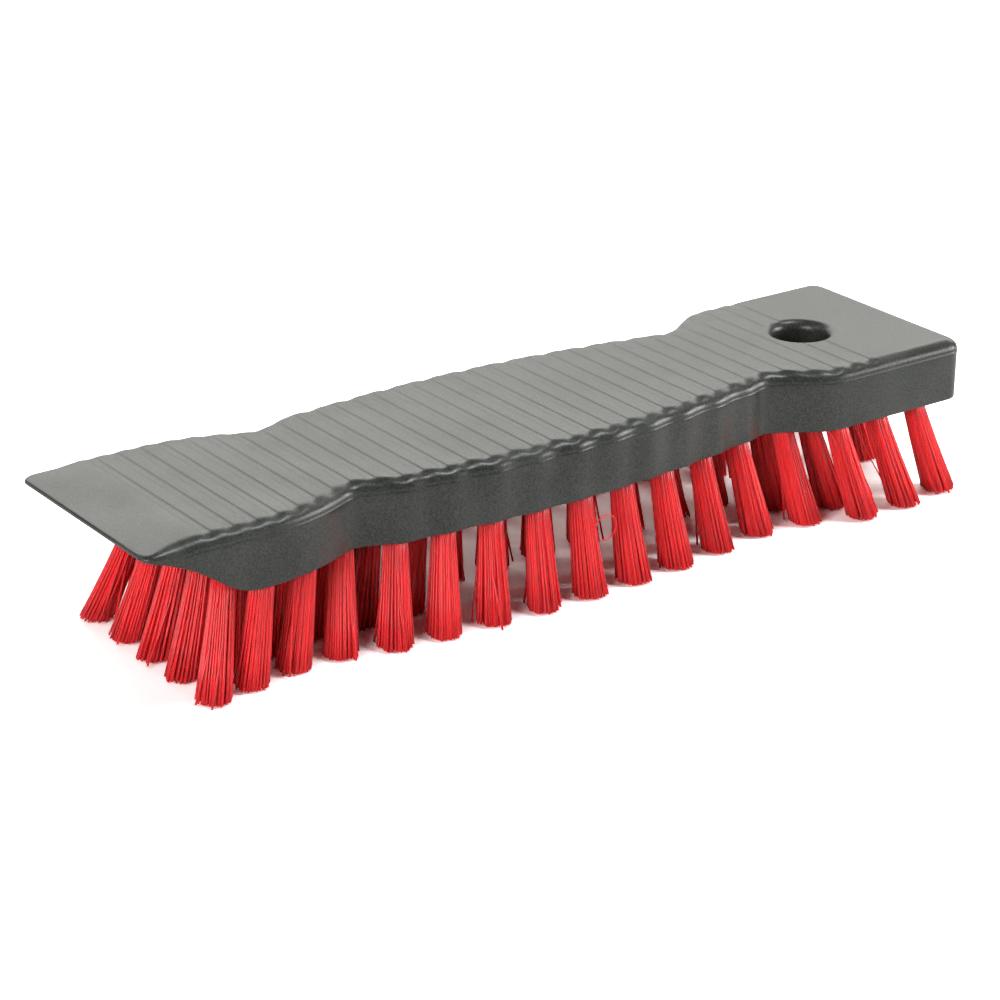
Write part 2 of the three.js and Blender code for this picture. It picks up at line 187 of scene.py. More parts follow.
# %% Top ramp and underside sweep
EDGE_Z = TOP_Z - RAMP_DROP - SCRAPER_EDGE
RAMP_CURVE, WEDGE_STEPS = 0.25, 200
WEDGE_X = TIP_X + np.array([0.0, WEDGE_NOSE, WEDGE_LENGTH - WEDGE_HEEL, WEDGE_LENGTH])
WEDGE_Z = np.array([EDGE_Z, EDGE_Z - WEDGE_NOSE_DROP, UNDER_Z, UNDER_Z])
t = np.linspace(0, 1, WEDGE_STEPS)
bezier = np.stack([(1 - t) ** 3, 3 * (1 - t) ** 2 * t, 3 * (1 - t) * t**2, t**3])
wedge_line_x, wedge_line_z = WEDGE_X @ bezier, WEDGE_Z @ bezier


def under_z(x):
    return np.interp(x, wedge_line_x, wedge_line_z)


def ramp_z(x):
    start = FIRST_GROOVE - RIB_PITCH / 2
    share = np.clip((start - x) / (start - TIP_X), 0.0, 1.0)
    return TOP_Z - RAMP_DROP * share * (1 - RAMP_CURVE + RAMP_CURVE * share)


def edge_drop(inside, wide, deep):
    """How far a rounded edge has fallen at a distance inside the outline."""
    short = np.clip(1 - inside / wide, 0.0, 1.0)
    return deep * (1 - np.sqrt(1 - short**2))


print("scraper edge:", round(float(ramp_z(TIP_X) - under_z(TIP_X)), 2), "mm thick")

# %% [markdown]
# ## The skin of the block
# A block like this could be cut from a solid with modifiers, but its rounded
# edges then break up where ribs and scallops meet. It is laid out as a grid
# instead: columns along the block, closer together near the grooves, and rows
# across it, closer together near the edges. The same grid gives the top and the
# underside, and a band of wall joins them round the outline.

# %% Grid stations
EDGE_STEPS = np.array([0, 0.03, 0.1, 0.22, 0.4, 0.65, 0.95, 1.3, 1.7, 2.15, 2.65, 3.2, 3.8, 4.4])
TIP_STEPS = np.array([0, 0.05, 0.15, 0.3, 0.55, 0.9, 1.35, 1.9, 2.6, 3.4, 4.4])
SCRAPER_STEPS = np.arange(5.6, 14.5, 1.4)
GROOVE_STEPS = np.array([0.0, 0.45, 0.75, 0.9, 1.05, 1.2, 1.35, 1.5, 1.7, 2.1, 2.6])
TAIL_FROM, TAIL_STEP, INNER_ROWS = 4.2, 1.1, 8


def column_places():
    front = TIP_X + np.concatenate([TIP_STEPS, SCRAPER_STEPS])
    around = np.concatenate([-GROOVE_STEPS[::-1], GROOVE_STEPS[1:]])
    first = FIRST_GROOVE + GROOVE_SHIFT
    ribs = [first + k * RIB_PITCH + around for k in range(GROOVES)]
    crests = first + (np.arange(GROOVES + 1) - 0.5) * RIB_PITCH
    tail_part = np.arange(HANG_X + TAIL_FROM, TAIL_X - TAIL_CORNER, TAIL_STEP)
    corner = TAIL_X - np.append(EDGE_STEPS, TAIL_CORNER)
    return np.unique(np.round(np.concatenate([front, *ribs, crests, tail_part, corner]), 5))


def row_places(half):
    outer = half[:, None] - EDGE_STEPS[None, :]
    share = np.linspace(1, 0, INNER_ROWS + 1)[1:-1]
    inner = (half - EDGE_STEPS[-1])[:, None] * share[None, :]
    upper = np.concatenate([outer, inner], axis=1)
    return np.concatenate([upper, np.zeros((len(half), 1)), -upper[:, ::-1]], axis=1)


columns = column_places()
halves = half_width(columns)
rows = row_places(halves)
print("grid:", rows.shape)

# %% [markdown]
# ## Rounding by distance
# A moulded edge has the same radius all the way round. A Bevel modifier would
# round a plain box, but not a wedge with scallops. So the height of each point
# near the edge depends on its true distance to the outline, also in the corners
# of the tail. The scraper edge is left thin: there the radius shrinks with the
# thickness of the wedge.

# %% Heights of the grid
OUTLINE_WINDOW = 8.0
TOP_SHARE, UNDER_SHARE = 0.55, 0.25
NOSE_LENGTH, NOSE_ROUND = 0.45, 0.3


def inside_distance():
    """Distance of each grid point to the outline of the two sides and the tail."""
    line_x = np.concatenate([columns, [TAIL_X]])
    line_y = np.concatenate([halves, [0.0]])
    start = np.stack([line_x[:-1], line_y[:-1]], axis=1)
    step = np.stack([np.diff(line_x), np.diff(line_y)], axis=1)
    size = np.maximum((step**2).sum(1), 1e-12)
    away = np.empty_like(rows)
    for i, x in enumerate(columns):
        near = np.abs(start[:, 0] - x) < OUTLINE_WINDOW
        a, d, s = start[near], step[near], size[near]
        point = np.stack([np.full(rows.shape[1], x), np.abs(rows[i])], axis=1)
        gap = point[:, None, :] - a[None, :, :]
        t = np.clip((gap * d[None]).sum(2) / s[None], 0.0, 1.0)
        away[i] = np.sqrt(((gap - t[..., None] * d[None]) ** 2).sum(2).min(1))
    return away


inside = inside_distance()
thick = (ramp_z(columns) - under_z(columns))[:, None]
round_share = np.minimum(1.0, TOP_SHARE * thick / TOP_ROUND)
under_radius = np.minimum(UNDER_ROUND, UNDER_SHARE * thick)
top_fall = edge_drop(inside, TOP_ROUND_WIDTH * round_share, TOP_ROUND * round_share)
grid_top = ramp_z(columns)[:, None] - top_fall
grid_under = under_z(columns)[:, None] + edge_drop(inside, under_radius, under_radius)
nose = np.clip(1 - (columns - TIP_X) / NOSE_LENGTH, 0.0, 1.0) ** 2
grid_top -= (NOSE_ROUND * nose)[:, None]
grid_under += (NOSE_ROUND * nose)[:, None]
print("top from", round(float(grid_top.min()), 2), "to", round(float(grid_top.max()), 2))

# %% [markdown]
# ## The wall and its parting line
# The two halves of the mould met just under the top rounding, and left a fine
# raised line there. Below it the wall leans in a little, so that the block
# could leave the mould. A thin strip could be laid on for the line, but the wall
# is a band of rings anyway, and a ring is the outline pushed out or in a little.

# %% Rings of the wall
LINE_PROUD, LINE_FADE = 0.2, 6
DRAFT = math.tan(math.radians(0.6))
LINE_RINGS = ((0.20, 0.0), (0.46, 1.0), (0.58, 1.0), (0.80, 0.0))
RING_SHARE, LINE_END_SHARE = 0.12, 0.5
WALL_RINGS = 5


def outline_loop():
    """Grid indices round the outline: far side, tail, near side, scraper edge."""
    nx, ny = rows.shape
    loop = [(i, 0) for i in range(nx)]
    loop += [(nx - 1, j) for j in range(1, ny)]
    loop += [(i, ny - 1) for i in range(nx - 2, -1, -1)]
    loop += [(0, j) for j in range(ny - 2, 0, -1)]
    return loop


def outward(ring):
    """Unit normals of a closed ring of points."""
    tangent = np.roll(ring, -1, axis=0) - np.roll(ring, 1, axis=0)
    normal = np.stack([-tangent[:, 1], tangent[:, 0]], axis=1)
    return normal / np.maximum(np.linalg.norm(normal, axis=1, keepdims=True), 1e-9)


def wall_rings(ring, low_ring, wall):
    """The rings of the wall from the top down, each with its depth below the top edge."""
    normal = outward(ring)
    for k, (depth, proud) in enumerate(LINE_RINGS):
        push = LINE_PROUD * proud * np.minimum(wall / LINE_FADE, 1) * normal[:, 1] ** 2
        yield ring + normal * push[:, None], np.minimum(depth, wall * RING_SHARE * (k + 1))
    start = np.minimum(LINE_RINGS[-1][0], wall * LINE_END_SHARE)
    for k in range(WALL_RINGS):
        share = (k + 1) / (WALL_RINGS + 1)
        yield ring + (low_ring - ring) * share, start + (wall - start) * share


print("wall rings:", len(LINE_RINGS) + WALL_RINGS)

# %% [markdown]
# ## One closed skin
# The grids and the rings now become one mesh. A modifier could bridge them, but
# the points are known, so the faces are simply listed: squares on both grids and
# a band between each ring and the next. Each point also keeps its distance to
# the outline, which the ribs need later.

# %% Build the skin mesh


def band(above, below):
    """Faces between two closed rings of points."""
    after = [*range(1, len(above)), 0]
    return [(above[m], above[n], below[n], below[m]) for m, n in enumerate(after)]


def skin_shape():
    """Points and faces of the top, the underside and the wall."""
    nx, ny = rows.shape
    flat = np.stack([np.repeat(columns[:, None], ny, 1), rows], axis=2)
    low_flat = flat.copy()
    low_flat[..., 1] *= (1 - DRAFT * (TOP_Z - TOP_ROUND - UNDER_Z) / halves)[:, None]
    points = np.dstack([flat, grid_top]).reshape(-1, 3).tolist()
    points += np.dstack([low_flat, grid_under]).reshape(-1, 3).tolist()
    top = np.arange(nx * ny).reshape(nx, ny)
    low = top + nx * ny
    faces = []
    for i in range(nx - 1):
        for j in range(ny - 1):
            faces.append((top[i, j], top[i, j + 1], top[i + 1, j + 1], top[i + 1, j]))
            faces.append((low[i, j], low[i + 1, j], low[i + 1, j + 1], low[i, j + 1]))
    edge = tuple(np.array(outline_loop()).T)
    top_edge = grid_top[edge]
    above = list(top[edge])
    for place, depth in wall_rings(flat[edge], low_flat[edge], top_edge - grid_under[edge]):
        below = list(range(len(points), len(points) + len(above)))
        points += np.column_stack([place, top_edge - depth]).tolist()
        faces += band(above, below)
        above = below
    return points, faces + band(above, list(low[edge]))


def build_skin():
    points, faces = skin_shape()
    mesh = bpy.data.meshes.new("brush_block")
    mesh.from_pydata((np.array(points) * MM).tolist(), [], faces)
    work = bmesh.new()
    work.from_mesh(mesh)
    bmesh.ops.recalc_face_normals(work, faces=work.faces)
    work.to_mesh(mesh)
    work.free()
    edge_distance = np.zeros(len(points))
    edge_distance[:inside.size] = inside.ravel() * MM
    mesh.attributes.new("inside", "FLOAT", "POINT").data.foreach_set("value", edge_distance)
    return put("brush_block", mesh)


block = build_skin()
print("skin faces:", len(block.data.polygons))

# %% [markdown]
# ## A small kit for node trees
# Both the shape trees and the finishes are built from nodes. A short helper
# that makes a node, sets its values and joins its inputs keeps those trees
# readable.

# %% Node helpers


def feed(tree, socket, value):
    """Joins a socket to another one, or sets its own value."""
    if isinstance(value, bpy.types.NodeSocket):
        tree.links.new(value, socket)
    else:
        socket.default_value = value


def add_node(tree, kind, inputs=None, **settings):
    node = tree.nodes.new(kind)
    for name, value in settings.items():
        setattr(node, name, value)
    for key, value in (inputs or {}).items():
        feed(tree, node.inputs[key], value)
    return node


def math_node(tree, operation, *values):
    node = add_node(tree, "ShaderNodeMath", dict(enumerate(values)), operation=operation)
    return node.outputs[0]


def scaled(tree, vector, factor):
    inputs = {0: vector, "Scale": factor}
    return add_node(tree, "ShaderNodeVectorMath", inputs, operation="SCALE").outputs[0]


def named(tree, name, kind):
    node = add_node(tree, "GeometryNodeInputNamedAttribute", {"Name": name}, data_type=kind)
    return node.outputs["Attribute"]


def new_shape_tree(name, sockets):
    tree = bpy.data.node_groups.new(name, "GeometryNodeTree")
    face = tree.interface
    face.new_socket("Geometry", in_out="INPUT", socket_type="NodeSocketGeometry")
    face.new_socket("Geometry", in_out="OUTPUT", socket_type="NodeSocketGeometry")
    for label, kind in sockets:
        face.new_socket(label, in_out="INPUT", socket_type=kind)
    start = tree.nodes.new("NodeGroupInput")
    end = tree.nodes.new("NodeGroupOutput")
    return tree, start.outputs, end.inputs[0]


def run_tree(piece, tree, values):
    """Puts a tree on a piece, sets its inputs by identifier and keeps the plain result."""
    modifier = piece.modifiers.new(tree.name, "NODES")
    modifier.node_group = tree
    for item in tree.interface.items_tree:
        if item.in_out == "INPUT" and item.name in values:
            modifier[item.identifier] = values[item.name]
    keep_result(piece)


def keep_result(piece):
    """Replaces a piece's mesh by its evaluated mesh and removes the modifiers."""
    graph = bpy.context.evaluated_depsgraph_get()
    mesh = bpy.data.meshes.new_from_object(piece.evaluated_get(graph))
    piece.modifiers.clear()
    old = piece.data
    piece.data = mesh
    mesh.name = piece.name
    if old.users == 0:
        bpy.data.meshes.remove(old)


print("node helpers ready")

# %% [markdown]
# ## The moulded plastic
# The block is dark grey plastic from a mould with a fine satin grain. Grain can
# be painted, but here it is noise: a slow cloud that changes the gloss and some
# of the tone, a fine grain that changes the tone and the height, and faint lines
# drawn across the block. The bristles and the anchor wires use the same group
# with other values.

# %% Surface variation group
CLOUD_TONE, GRAIN_TONE = 0.3, 0.7
TONE_FROM, TONE_TO, GLOSS_FROM, GLOSS_TO = 0.38, 0.62, 0.35, 0.65
LINE_STRETCH, LINE_SCALE = (1.0, 0.03, 0.03), 900.0


def surface_group():
    tree = bpy.data.node_groups.new("surface_variation", "ShaderNodeTree")
    face = tree.interface
    for label in ("Cloud Scale", "Grain Scale", "Line Share", "Rough Low", "Rough High"):
        face.new_socket(label, in_out="INPUT", socket_type="NodeSocketFloat")
    for label in ("Dark", "Light"):
        face.new_socket(label, in_out="INPUT", socket_type="NodeSocketColor")
    face.new_socket("Color", in_out="OUTPUT", socket_type="NodeSocketColor")
    face.new_socket("Roughness", in_out="OUTPUT", socket_type="NodeSocketFloat")
    face.new_socket("Height", in_out="OUTPUT", socket_type="NodeSocketFloat")
    start = tree.nodes.new("NodeGroupInput").outputs
    end = tree.nodes.new("NodeGroupOutput").inputs
    place = tree.nodes.new("ShaderNodeTexCoord").outputs["Object"]

    def noise(vector, scale, detail):
        inputs = {"Vector": vector, "Scale": scale, "Detail": detail}
        return add_node(tree, "ShaderNodeTexNoise", inputs).outputs[0]

    cloud = noise(place, start["Cloud Scale"], 4.0)
    grain = noise(place, start["Grain Scale"], 2.0)
    slow = math_node(tree, "MULTIPLY", cloud, CLOUD_TONE)
    both = math_node(tree, "MULTIPLY_ADD", grain, GRAIN_TONE, slow)
    drawn_out = add_node(tree, "ShaderNodeMapping", {"Vector": place, "Scale": LINE_STRETCH})
    lines = noise(drawn_out.outputs[0], LINE_SCALE, 3.0)
    height = math_node(tree, "ADD", grain, math_node(tree, "MULTIPLY", lines, start["Line Share"]))
    tone = add_node(tree, "ShaderNodeMapRange", {
        "Value": both, "From Min": TONE_FROM, "From Max": TONE_TO}).outputs[0]
    gloss = add_node(tree, "ShaderNodeMapRange", {
        "Value": cloud, "From Min": GLOSS_FROM, "From Max": GLOSS_TO,
        "To Min": start["Rough Low"], "To Max": start["Rough High"]}).outputs[0]
    mix = add_node(tree, "ShaderNodeMix", {
        0: tone, 6: start["Dark"], 7: start["Light"]}, data_type="RGBA").outputs[2]
    for label, result in (("Color", mix), ("Roughness", gloss), ("Height", height)):
        tree.links.new(result, end[label])
    return tree


variation = surface_group()
print("group:", variation.name)

# %% [markdown]
# ## Three finishes
# Plastic, steel and filament differ only in tone, gloss and grain, so one
# function makes all three. A drawn filament also lets light in, and it glows red
# where its neighbours shade it. Scattering under the surface gives that, and a
# tint of its own tells each filament from the next.

# %% Block, anchor and bristle finishes
GLOW_WEIGHT, GLOW_REACH, GLOW_COLOURS = 0.8, 0.9, (1.0, 0.12, 0.10)
TINT_LOW, TINT_HIGH = 0.84, 1.12


def finish_material(name, dark, light, rough, cloud, grain, bump, metallic=0.0, lines=0.0):
    material = bpy.data.materials.new(name)
    material.use_nodes = True
    tree = material.node_tree
    shader = tree.nodes["Principled BSDF"]
    shader.inputs["Metallic"].default_value = metallic
    look = {"Cloud Scale": cloud, "Grain Scale": grain, "Line Share": lines,
            "Rough Low": rough[0], "Rough High": rough[1],
            "Dark": (*dark, 1.0), "Light": (*light, 1.0)}
    varied = add_node(tree, "ShaderNodeGroup", look, node_tree=variation).outputs
    lift = add_node(tree, "ShaderNodeBump", {
        "Strength": 1.0, "Distance": bump * MM, "Height": varied["Height"]}).outputs[0]
    tree.links.new(varied["Color"], shader.inputs["Base Color"])
    tree.links.new(varied["Roughness"], shader.inputs["Roughness"])
    tree.links.new(lift, shader.inputs["Normal"])
    return material


def bristle_material():
    material = finish_material(
        "red_filament", dark=(0.80, 0.030, 0.036), light=(0.84, 0.036, 0.043),
        rough=(0.29, 0.33), cloud=150.0, grain=6000.0, bump=0.002)
    tree = material.node_tree
    shader = tree.nodes["Principled BSDF"]
    shader.subsurface_method = "BURLEY"
    shader.inputs["Subsurface Weight"].default_value = GLOW_WEIGHT
    shader.inputs["Subsurface Radius"].default_value = GLOW_COLOURS
    shader.inputs["Subsurface Scale"].default_value = GLOW_REACH * MM
    group = next(node for node in tree.nodes if node.type == "GROUP")
    tint = add_node(tree, "ShaderNodeAttribute", attribute_name="tint")
    shade = add_node(tree, "ShaderNodeMapRange", {
        "Value": tint.outputs["Fac"], "To Min": TINT_LOW, "To Max": TINT_HIGH})
    toned = scaled(tree, group.outputs["Color"], shade.outputs[0])
    tree.links.new(toned, shader.inputs["Base Color"])
    return material


plastic = finish_material(
    "satin_block_plastic", dark=(0.021, 0.023, 0.019), light=(0.064, 0.068, 0.060),
    rough=(0.32, 0.38), cloud=60.0, grain=2000.0, bump=0.028, lines=0.4)
steel = finish_material(
    "anchor_wire_steel", dark=(0.42, 0.42, 0.43), light=(0.58, 0.58, 0.59),
    rough=(0.3, 0.45), cloud=300.0, grain=5000.0, bump=0.008, metallic=1.0)
filament = bristle_material()
print("finishes:", plastic.name, steel.name, filament.name)

# %% [markdown]
# ## Cross ribs
# Thirty-four shallow grooves run right across the grip. They could be modelled
# one by one, but they follow one rule, so a small shape tree presses them into
# the skin: it finds the nearest groove to each point and lowers the top to the
# groove's floor. A groove is only a fine step on the top. It fades towards the
# rounded edge, and a soft notch takes over there, which gives the edge its row
# of small scallops.

# %% Rib tree


def rib_tree():
    labels = ("First Groove", "Last Groove", "Pitch", "Depth", "Width", "Left Slope", "Right Slope",
              "Notch Depth", "Notch Deepest", "Notch Reach", "Crown", "Top", "Blend")
    sockets = [(label, "NodeSocketFloat") for label in labels] + [("Material", "NodeSocketMaterial")]
    tree, given, result = new_shape_tree("cross_ribs", sockets)

    def calc(operation, *values):
        return math_node(tree, operation, *values)

    def ramp(value, start, end, kind="SMOOTHSTEP"):
        return add_node(tree, "ShaderNodeMapRange", {
            "Value": value, "From Min": start, "From Max": end}, interpolation_type=kind).outputs[0]

    place = add_node(tree, "GeometryNodeInputPosition").outputs[0]
    split = add_node(tree, "ShaderNodeSeparateXYZ", {0: place}).outputs
    along = calc("DIVIDE", calc("SUBTRACT", split[0], given["First Groove"]), given["Pitch"])
    counted = calc("MAXIMUM", calc("ROUND", along), 0.0)
    nearest = calc("MINIMUM", counted, given["Last Groove"])
    share = calc("SUBTRACT", along, nearest)
    off = calc("MULTIPLY", share, given["Pitch"])
    inward = named(tree, "inside", "FLOAT")
    # The groove: a sharper step down on the scraper side and a softer one up
    half = calc("MULTIPLY", given["Width"], 0.5)
    left_end = calc("SUBTRACT", given["Left Slope"], half)
    down_step = ramp(off, calc("MULTIPLY", half, -1.0), left_end)
    up_step = ramp(off, calc("SUBTRACT", half, given["Right Slope"]), half)
    trough = calc("MULTIPLY", down_step, calc("SUBTRACT", 1.0, up_step))
    # A little crown between the grooves
    half_pitch = calc("MULTIPLY", given["Pitch"], 0.5)
    fall = calc("SUBTRACT", 1.0, ramp(calc("ABSOLUTE", off), 0.0, half_pitch, "LINEAR"))
    crown = calc("MULTIPLY", calc("MULTIPLY", fall, fall), given["Crown"])
    # The floor of the groove, which rises to nothing before the rounded edge
    inner = ramp(inward, given["Notch Deepest"], given["Notch Reach"])
    depth = calc("MULTIPLY", given["Depth"], inner)
    sink = calc("MULTIPLY_ADD", trough, depth, crown)
    floor = calc("SUBTRACT", given["Top"], sink)
    lowered = calc("MINIMUM", split[2], calc("SMOOTH_MIN", split[2], floor, given["Blend"]))
    # A notch at the end of the groove, on the rounded edge
    near_edge = calc("MULTIPLY", calc("SUBTRACT", 1.0, inner), ramp(inward, 0.0, given["Notch Deepest"]))
    kept = calc("MINIMUM", calc("MAXIMUM", share, -0.5), 0.5)
    wave = calc("MULTIPLY_ADD", calc("COSINE", calc("MULTIPLY", kept, 2 * math.pi)), 0.5, 0.5)
    notch = calc("MULTIPLY", calc("MULTIPLY", near_edge, wave), given["Notch Depth"])
    final = calc("SUBTRACT", lowered, notch)
    moved = add_node(tree, "ShaderNodeCombineXYZ", {0: split[0], 1: split[1], 2: final}).outputs[0]
    shift = add_node(tree, "GeometryNodeSetPosition", {
        "Geometry": given["Geometry"], "Position": moved}).outputs[0]
    joined = add_node(tree, "GeometryNodeRealizeInstances", {0: shift}).outputs[0]
    shown = add_node(tree, "GeometryNodeSetMaterial", {
        "Geometry": joined, "Material": given["Material"]}).outputs[0]
    tree.links.new(shown, result)
    return tree


run_tree(block, rib_tree(), {
    "First Groove": (FIRST_GROOVE + GROOVE_SHIFT) * MM, "Last Groove": float(GROOVES - 1),
    "Pitch": RIB_PITCH * MM, "Depth": GROOVE_DEPTH * MM, "Width": GROOVE_WIDTH * MM,
    "Left Slope": GROOVE_LEFT_SLOPE * MM, "Right Slope": GROOVE_RIGHT_SLOPE * MM,
    "Notch Depth": NOTCH_DEPTH * MM, "Notch Deepest": NOTCH_DEEPEST * MM,
    "Notch Reach": NOTCH_REACH * MM, "Crown": RIB_CROWN * MM, "Top": TOP_Z * MM,
    "Blend": GROOVE_BLEND * MM, "Material": plastic})
print("ribbed skin faces:", len(block.data.polygons))

# %% [markdown]
# ## Where the tufts stand
# Two long rows follow the sides. Between them the front row and the next one
# have three tufts each, the four places behind them have two, and the grip has
# one. Two more stand before the hang hole, one beside it on each side, and one
# behind it. Tufts could be scattered, but a drilling machine sets them by a
# plan, so the places repeat the rule of the solids. Each tuft has a root on the
# underside and a lean that carries its tip outwards.

# %% Tuft places
ROW_INSET, ROW_COUNT, ROW_BOW = 6.0, 15, 1.6
FRONT_ROW, SECOND_ROW, TAIL_ROW = 27.6, 8.0, 16.2
CORNER_INSET, TAIL_PAIR_INSET = 5.2, 10.5
INNER_PAIRS, MIDDLE_SHIFT, MIDDLE_LEAN = 4, 2.6, 3.0
REAR_PAIR, REAR_EASE, REAR_SHIFT, REAR_PAIR_LEAN = 11, 3, 2.0, 4.3
SIDE_LEAN, SHOULDER_LEAN, TAIL_LEAN = 7.4, 2.0, 4.5
END_LEAN, HEAD_LEAN, FRONT_LEAN = 8.5, 5.5, 9.2
CORNER_LEAN, INNER_LEAN, PAIR_LEAN = 9.0, 3.5, 2.0
HANG_BORE, HANG_RIM, STRIP_HALF = 16.0, 1.8, 3.7

front_x = TIP_X + FRONT_ROW
second_x = front_x + SECOND_ROW
tuft_pitch = (TAIL_X - TAIL_ROW - second_x) / ROW_COUNT
row_x = [second_x + (k + 1) * tuft_pitch for k in range(ROW_COUNT)]
middle_x = (row_x[0] + row_x[-1]) / 2
hang_from = HANG_X - HANG_BORE / 2 - HANG_RIM - STRIP_HALF


def end_lean(x):
    return max(-HEAD_LEAN, END_LEAN * (x - middle_x) / (row_x[-1] - middle_x))


def row_y(x):
    return float(soft_half(np.array((x - FIRST_GROOVE) / RIB_PITCH))) - ROW_INSET


def bowed_x(k):
    along = (k + 1) / (ROW_COUNT + 1)
    ease = min(max((k - REAR_PAIR) / REAR_EASE + 1, 0), 1)
    return row_x[k] - ROW_BOW * 4 * along * (1 - along) + REAR_SHIFT * ease


def side_row(side):
    corner_y = row_y(front_x) - CORNER_INSET
    places = [(front_x, side * corner_y, -FRONT_LEAN, side * CORNER_LEAN)]
    places.append((second_x, side * row_y(second_x), end_lean(second_x), side * SHOULDER_LEAN))
    leans = [SHOULDER_LEAN] + [SIDE_LEAN] * (ROW_COUNT - 2) + [TAIL_LEAN]
    for k, lean in enumerate(leans):
        x = bowed_x(k)
        places.append((x, side * row_y(x), end_lean(x), side * lean))
    beside = next(x for x in map(bowed_x, range(ROW_COUNT)) if x > hang_from) - REAR_SHIFT
    pair_y = row_y(beside) - TAIL_PAIR_INSET
    places.append((beside, side * pair_y, end_lean(beside), side * SIDE_LEAN))
    return places


def inner_pairs():
    places = []
    for side in (-1, 1):
        for x in map(bowed_x, range(INNER_PAIRS)):
            places.append((x, side * row_y(x) / 2, end_lean(x), side * PAIR_LEAN))
    return places


def middle_row():
    places = [(front_x, 0, -FRONT_LEAN, 0), (second_x, 0, end_lean(second_x), 0)]
    inner_y = (row_y(front_x) - CORNER_INSET) / 2
    for side in (-1, 1):
        places.append((front_x, side * inner_y, -FRONT_LEAN, side * INNER_LEAN))
        places.append((second_x, side * row_y(second_x) / 2, end_lean(second_x), side * INNER_LEAN))
    line = [x + MIDDLE_SHIFT for x in row_x[INNER_PAIRS:REAR_PAIR]]
    places += inner_pairs() + [(x, 0, end_lean(x), -MIDDLE_LEAN) for x in line]
    x = bowed_x(REAR_PAIR)
    for side in (-1, 1):
        places.append((x, side * row_y(x) / 2, end_lean(x), side * REAR_PAIR_LEAN))
    return places


tail_tuft = [(row_x[-1], 0, end_lean(row_x[-1]), 0)]
tuft_rows = {"right": side_row(-1), "left": side_row(1), "middle": middle_row(), "tail": tail_tuft}
print("tufts:", {name: len(places) for name, places in tuft_rows.items()})

# %% [markdown]
# ## Holes in the block
# The hang hole has a soft rim that rolls into the bore. The tuft holes are
# plain drilled holes. Both could be left out of the grid, but a cut is the
# honest tool: one turned cutter for the hang hole, and round pegs for the tufts.

# %% Cutters for the hang hole and the tuft holes
HANG_SOFT_RIM, HANG_RIM_UNDER = 2.7, 0.8
TUFT_HOLE, TUFT_HOLE_DEPTH = 6.0, 12.0
CUT_MARGIN, RIM_FLARE = 3, 1.02
UNDER_ROLL_STEPS, TOP_ROLL_STEPS = 5, 12
BORE_SIDES, PEG_SIDES = 72, 20


def made_mesh(name, work):
    """A plain mesh from a finished edit mesh."""
    mesh = bpy.data.meshes.new(name)
    work.to_mesh(mesh)
    work.free()
    return mesh


def turned_cutter(name, outline, steps):
    """A closed body turned about the vertical through the hang hole."""
    work = bmesh.new()
    rings = []
    turn = [2 * math.pi * k / steps for k in range(steps)]
    for radius, z in outline:
        circle = [(HANG_X + radius * math.cos(a), radius * math.sin(a), z) for a in turn]
        rings.append([work.verts.new(Vector(point) * MM) for point in circle])
    for low, high in zip(rings, rings[1:]):
        for k in range(steps):
            n = (k + 1) % steps
            work.faces.new((low[k], low[n], high[n], high[k]))
    work.faces.new(rings[0][::-1])
    work.faces.new(rings[-1])
    bmesh.ops.recalc_face_normals(work, faces=work.faces)
    return put(name, made_mesh(name, work))


def hang_cutter():
    bore = HANG_BORE / 2
    outline = [(bore + HANG_RIM_UNDER, UNDER_Z - CUT_MARGIN)]
    for k in range(UNDER_ROLL_STEPS + 1):
        angle = math.pi * k / (2 * UNDER_ROLL_STEPS)
        outward_by = HANG_RIM_UNDER * (1 - math.sin(angle))
        outline.append((bore + outward_by, UNDER_Z + HANG_RIM_UNDER * (1 - math.cos(angle))))
    for k in range(TOP_ROLL_STEPS + 1):
        angle = math.pi * k / (2 * TOP_ROLL_STEPS)
        outward_by = HANG_SOFT_RIM * (1 - math.cos(angle))
        outline.append((bore + outward_by, TOP_Z - HANG_SOFT_RIM * (1 - math.sin(angle))))
    outline.append((bore + HANG_SOFT_RIM * RIM_FLARE, TOP_Z + CUT_MARGIN))
    return turned_cutter("hang_cutter", outline, BORE_SIDES)


def peg_cutter():
    work = bmesh.new()
    low, high = UNDER_Z - CUT_MARGIN, UNDER_Z + TUFT_HOLE_DEPTH
    radius = TUFT_HOLE / 2 * MM
    for places in tuft_rows.values():
        for x, y, _, _ in places:
            centre = Matrix.Translation(Vector((x, y, (low + high) / 2)) * MM)
            bmesh.ops.create_cone(
                work, cap_ends=True, segments=PEG_SIDES, radius1=radius, radius2=radius,
                depth=(high - low) * MM, matrix=centre)
    return put("peg_cutter", made_mesh("peg_cutter", work))


cutters = (hang_cutter(), peg_cutter())
print("cutters:", [cutter.name for cutter in cutters])

# %% Cut the holes and keep the block
SHARP_ANGLE = math.radians(38)
for cutter in cutters:
    cut = block.modifiers.new("cut", "BOOLEAN")
    cut.operation = "DIFFERENCE"
    cut.solver = "EXACT"
    cut.object = cutter
    keep_result(block)
    bpy.data.objects.remove(cutter)

for polygon in block.data.polygons:
    polygon.use_smooth = True
block.data.set_sharp_from_angle(angle=SHARP_ANGLE)
block.data.materials.clear()
block.data.materials.append(plastic)
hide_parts("block")
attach(block, "root")
print("block faces after cuts:", len(block.data.polygons))

# %% [markdown]
# ## Bristle tufts
# Each tuft is a bundle of drawn filaments, tight in its hole and flared by its
# own spring. Hair systems would do for a picture, but real meshes can be kept
# and measured. A shape tree puts a disc of points on every tuft, a thin rod on
# every point, and then bends all the rods at once: outwards with the flare,
# sideways with the lean, with a little disorder and a few strays.

